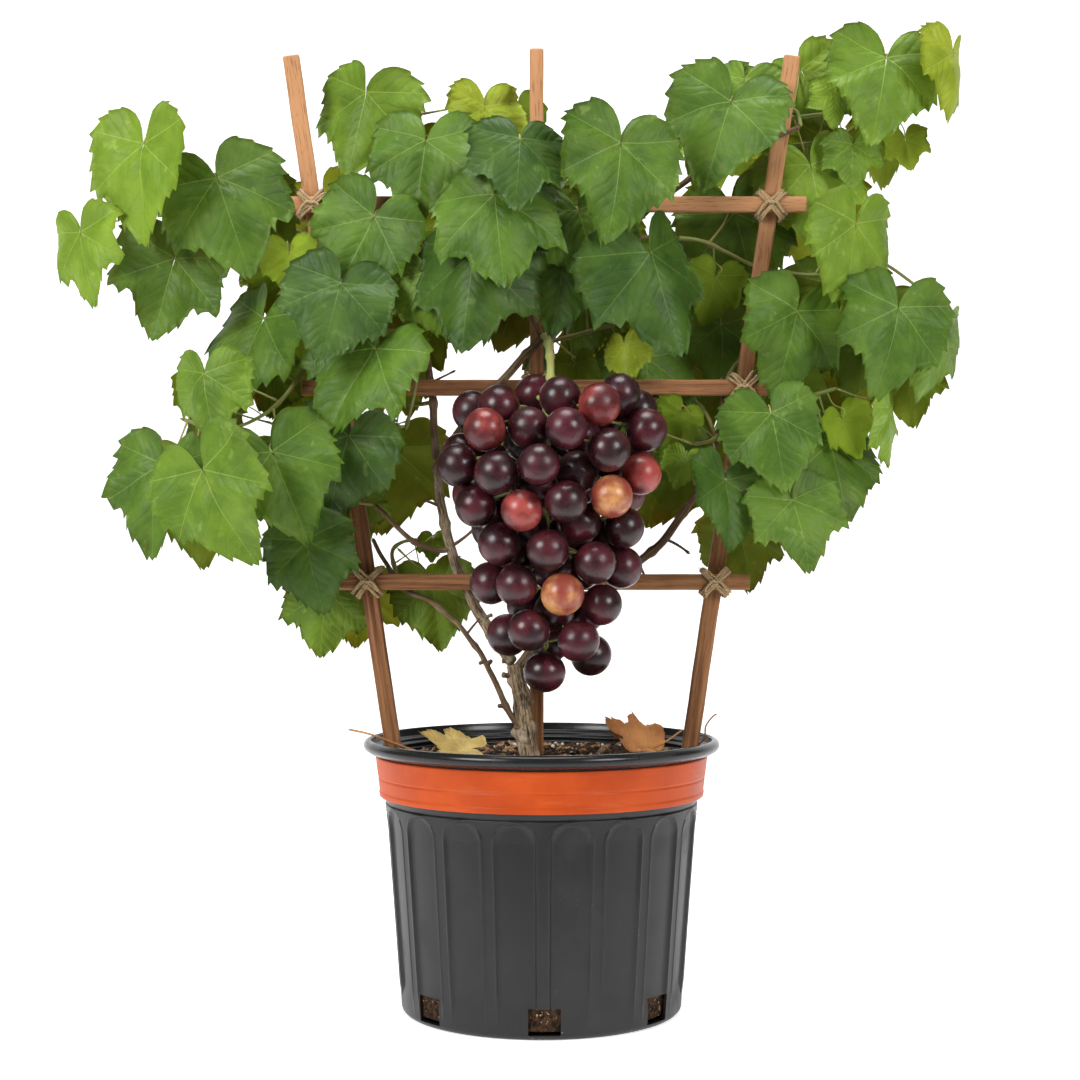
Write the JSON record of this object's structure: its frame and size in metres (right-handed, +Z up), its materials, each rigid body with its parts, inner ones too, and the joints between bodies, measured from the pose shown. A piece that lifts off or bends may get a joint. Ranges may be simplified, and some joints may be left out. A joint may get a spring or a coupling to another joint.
{
  "type": "potted grapevine",
  "caption": "Fruiting grapevine in a round nursery pot, tied in to a small wooden trellis, with one large bunch of dark grapes.",
  "frame": {"origin": "middle of the pot's flat underside, on the surface it stands on", "axes": "+Z up; -Y towards the viewer of the front, where the bunch hangs; +X to that viewer's right, along the trellis rails"},
  "size_m": [0.6629, 0.2584, 0.7118],
  "materials": {
    "black_plastic": "satin black, dusty",
    "orange_plastic": "satin orange red",
    "potting_soil": "rough dark brown, crumbly",
    "stained_wood": "sawn, reddish brown stain",
    "jute_twine": "fibrous twine",
    "vine_bark": "rough grey brown bark",
    "vine_leaf": "leaf green, paler below",
    "grape_skin": "near black purple skin with a bloom"
  },
  "bodies": {
    "root": {"arm_lower": "vine_bark", "arm_upper": "vine_bark", "centre_twig": "vine_bark", "grape_bunch": "grape_skin", "lashing_1": "jute_twine", "lashing_2": "jute_twine", "lashing_3": "jute_twine", "lashing_4": "jute_twine", "lashing_5": "jute_twine", "lashing_6": "jute_twine", "lashing_7": "jute_twine", "lashing_8": "jute_twine", "lashing_9": "jute_twine", "left_arm": "vine_bark", "left_cane": "vine_bark", "left_twig": "vine_bark", "left_upper_cane": "vine_bark", "low_left_cane": "vine_bark", "pot": "black_plastic", "pot_band": "orange_plastic", "right_cane": "vine_bark", "right_upper_cane": "vine_bark", "shoot_centre_back": "vine_leaf", "shoot_centre_right": "vine_leaf", "shoot_centre_top": "vine_leaf", "shoot_left_inner": "vine_leaf", "shoot_left_low": "vine_leaf", "shoot_left_middle": "vine_leaf", "shoot_left_top": "vine_leaf", "shoot_low": "vine_leaf", "shoot_low_inner": "vine_leaf", "shoot_lower_left": "vine_leaf", "shoot_lower_right": "vine_leaf", "shoot_rear_centre": "vine_leaf", "shoot_rear_left": "vine_leaf", "shoot_rear_lower_right": "vine_leaf", "shoot_rear_right": "vine_leaf", "shoot_rear_right_top": "vine_leaf", "shoot_rear_top": "vine_leaf", "shoot_rear_upper_left": "vine_leaf", "shoot_right": "vine_leaf", "shoot_right_inner": "vine_leaf", "shoot_right_middle": "vine_leaf", "shoot_right_peak": "vine_leaf", "shoot_right_top": "vine_leaf", "shoot_upper_left": "vine_leaf", "soil": "potting_soil", "trellis_post_centre": "stained_wood", "trellis_post_left": "stained_wood", "trellis_post_right": "stained_wood", "trellis_rail_bottom": "stained_wood", "trellis_rail_middle": "stained_wood", "trellis_rail_top": "stained_wood", "trunk": "vine_bark"}
  },
  "joints": []
}
